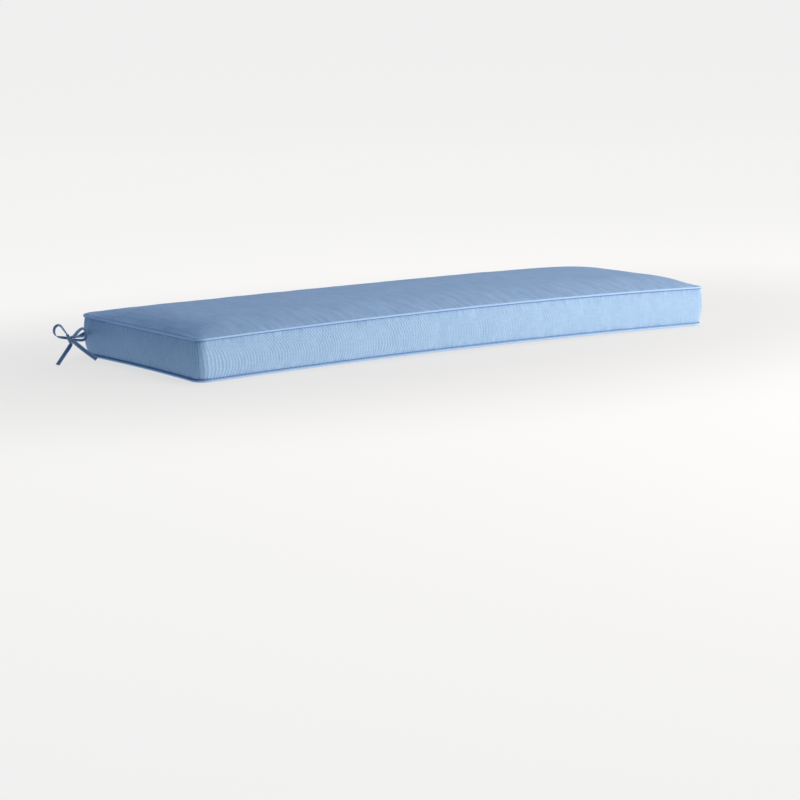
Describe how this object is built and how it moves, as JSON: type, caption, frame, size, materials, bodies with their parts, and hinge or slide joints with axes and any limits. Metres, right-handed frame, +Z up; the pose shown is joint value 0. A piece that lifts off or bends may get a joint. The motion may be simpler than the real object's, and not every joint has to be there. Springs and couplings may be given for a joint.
{
  "type": "bench cushion",
  "caption": "Boxed seat cushion for a bench, with crowned top panel, drawn-in sides, self-fabric piping on both seams and a pair of ties in a bow at one back corner.",
  "frame": {"origin": "under the middle of the cushion, on the surface it rests on", "axes": "+X along the cushion to its right-hand end, +Y to its back edge, +Z up through its top panel"},
  "size_m": [1.2313, 0.4712, 0.0987],
  "materials": {
    "cover_cloth": "plain-woven light blue canvas, matt",
    "piping_cloth": "the same canvas cut on the bias over a cord, matt",
    "tie_cloth": "the same canvas folded and stitched into a flat strap, matt"
  },
  "bodies": {
    "root": {"cushion": "cover_cloth", "piping_top": "piping_cloth", "piping_bottom": "piping_cloth", "tie_back": "tie_cloth", "tie_front": "tie_cloth"}
  },
  "joints": []
}
